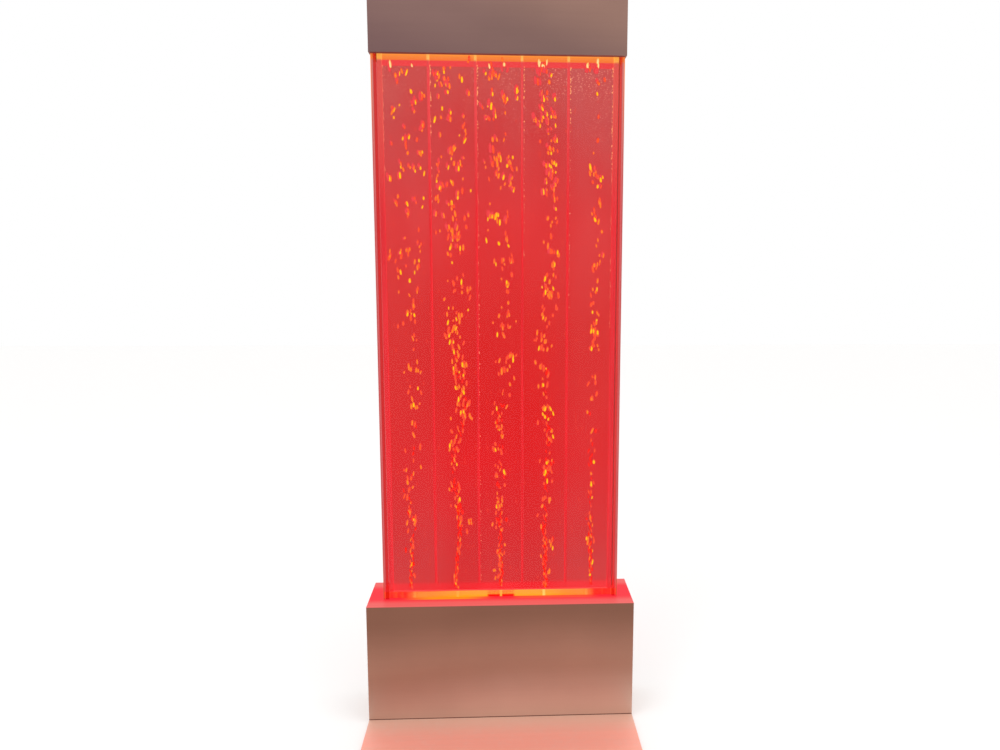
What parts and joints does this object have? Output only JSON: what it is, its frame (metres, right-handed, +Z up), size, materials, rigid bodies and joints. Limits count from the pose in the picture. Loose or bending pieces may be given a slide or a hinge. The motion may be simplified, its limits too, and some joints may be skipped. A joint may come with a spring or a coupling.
{
  "type": "bubble wall lamp",
  "caption": "Floor-standing bubble wall: a slim lit water tank with rising air bubbles between a steel base box and a lift-off canopy.",
  "frame": {"origin": "middle of the footprint, on the floor under the foot pads", "axes": "+Z up, +X to the viewer's right, -Y towards the viewer in front of the wall; door, tap and inlet face +Y"},
  "size_m": [0.6, 0.48, 1.65],
  "materials": {
    "black_rubber": "matt moulded rubber",
    "brushed_stainless": "fine horizontal brushing",
    "bright_steel": "turned and tumbled",
    "tube_steel": "grey primer, satin",
    "bare_aluminium": "extruded, satin",
    "brass": "turned",
    "clear_acrylic": "polished cast acrylic, red with the light inside",
    "lit_acrylic": "cast acrylic carrying the light",
    "edge_acrylic": "cast acrylic, sawn and flame polished edge",
    "red_lit_water": "clear water lit red, with air bubbles",
    "lit_opal": "opal diffuser, lit amber",
    "lit_red": "red strip lit from behind",
    "white_plastic": "moulded",
    "black_plastic": "fine moulded grain",
    "grey_plastic": "fine moulded grain",
    "red_plastic": "gloss moulded",
    "blue_plastic": "moulded",
    "soft_tube": "clear soft vinyl"
  },
  "bodies": {
    "base": {"foot_pads": "black_rubber", "floor_plate": "brushed_stainless", "base_shell": "brushed_stainless", "base_screws": "bright_steel", "frame_rails": "tube_steel", "frame_legs": "tube_steel", "hinge_shell_leaves": "bright_steel", "hinge_pins": "bright_steel", "door_magnet": "black_plastic", "light_tray": "bare_aluminium", "light_boards": "white_plastic", "light_window": "lit_opal", "window_joiner": "lit_red", "tank_bottom_bar": "lit_acrylic", "tank_front_sheet": "clear_acrylic", "tank_rear_sheet": "clear_acrylic", "tank_side_strips": "lit_acrylic", "tank_edge_strips": "edge_acrylic", "tank_dividers": "lit_acrylic", "tank_top_bar": "lit_acrylic", "fill_neck": "white_plastic", "tank_bolts": "bright_steel", "air_nozzles": "brass", "nozzle_washers": "black_rubber", "water_fill": "red_lit_water", "top_light_channel": "bare_aluminium", "top_light_board": "white_plastic", "top_light_lens": "lit_opal", "top_light_lead": "white_plastic", "air_bar": "bare_aluminium", "air_bar_brackets": "tube_steel", "check_valves": "white_plastic", "riser_tubes": "soft_tube", "air_feed_tube": "soft_tube", "pump_base": "black_plastic", "pump_cover": "grey_plastic", "pump_feet": "black_rubber", "power_supply": "bare_aluminium", "light_controller": "white_plastic", "power_inlet": "black_plastic", "inner_leads": "white_plastic", "drain_fitting": "brass", "drain_hose": "soft_tube", "drain_tap": "brass"},
    "canopy": {"canopy_shell": "brushed_stainless", "canopy_rest_bars": "tube_steel", "canopy_rest_blocks": "black_rubber"},
    "door": {"service_door": "brushed_stainless", "door_hinge_leaves": "bright_steel", "door_pull": "bright_steel", "door_strike": "tube_steel"},
    "cap": {"fill_cap": "black_rubber"},
    "drain_handle": {"drain_lever": "blue_plastic"},
    "rocker": {"rocker_switch": "red_plastic"},
    "button": {"mode_button": "red_plastic"},
    "valve_1": {"air_valve_1": "blue_plastic"},
    "valve_2": {"air_valve_2": "blue_plastic"},
    "valve_3": {"air_valve_3": "blue_plastic"},
    "valve_4": {"air_valve_4": "blue_plastic"},
    "valve_5": {"air_valve_5": "blue_plastic"}
  },
  "joints": [
    {"name": "canopy_lift", "type": "slide", "parent": "base", "child": "canopy", "axis": [0, 0, 1], "range_m": [0, 0.25]},
    {"name": "door_swing", "type": "hinge", "parent": "base", "child": "door", "pos_m": [0.216, 0.0792, 0.1395], "axis": [0, 0, -1], "range_deg": [0, 110]},
    {"name": "cap_pull", "type": "slide", "parent": "base", "child": "cap", "axis": [0, 0, 1], "range_m": [0, 0.04]},
    {"name": "drain_turn", "type": "hinge", "parent": "base", "child": "drain_handle", "pos_m": [-0.255, 0.094, 0.0735], "axis": [0, 0, -1], "range_deg": [0, 90]},
    {"name": "switch_rock", "type": "hinge", "parent": "base", "child": "rocker", "pos_m": [0.262, 0.075, 0.164], "axis": [1, 0, 0], "range_deg": [-24, 0]},
    {"name": "mode_press", "type": "slide", "parent": "base", "child": "button", "axis": [0, -1, 0], "range_m": [0, 0.002], "stiffness_N_per_m": 400},
    {"name": "valve_1_turn", "type": "hinge", "parent": "base", "child": "valve_1", "pos_m": [-0.198, 0.014, 0.168], "axis": [0, 1, 0], "range_deg": [-270, 270]},
    {"name": "valve_2_turn", "type": "hinge", "parent": "base", "child": "valve_2", "pos_m": [-0.099, 0.014, 0.168], "axis": [0, 1, 0], "range_deg": [-270, 270]},
    {"name": "valve_3_turn", "type": "hinge", "parent": "base", "child": "valve_3", "pos_m": [0, 0.014, 0.168], "axis": [0, 1, 0], "range_deg": [-270, 270]},
    {"name": "valve_4_turn", "type": "hinge", "parent": "base", "child": "valve_4", "pos_m": [0.099, 0.014, 0.168], "axis": [0, 1, 0], "range_deg": [-270, 270]},
    {"name": "valve_5_turn", "type": "hinge", "parent": "base", "child": "valve_5", "pos_m": [0.198, 0.014, 0.168], "axis": [0, 1, 0], "range_deg": [-270, 270]}
  ]
}
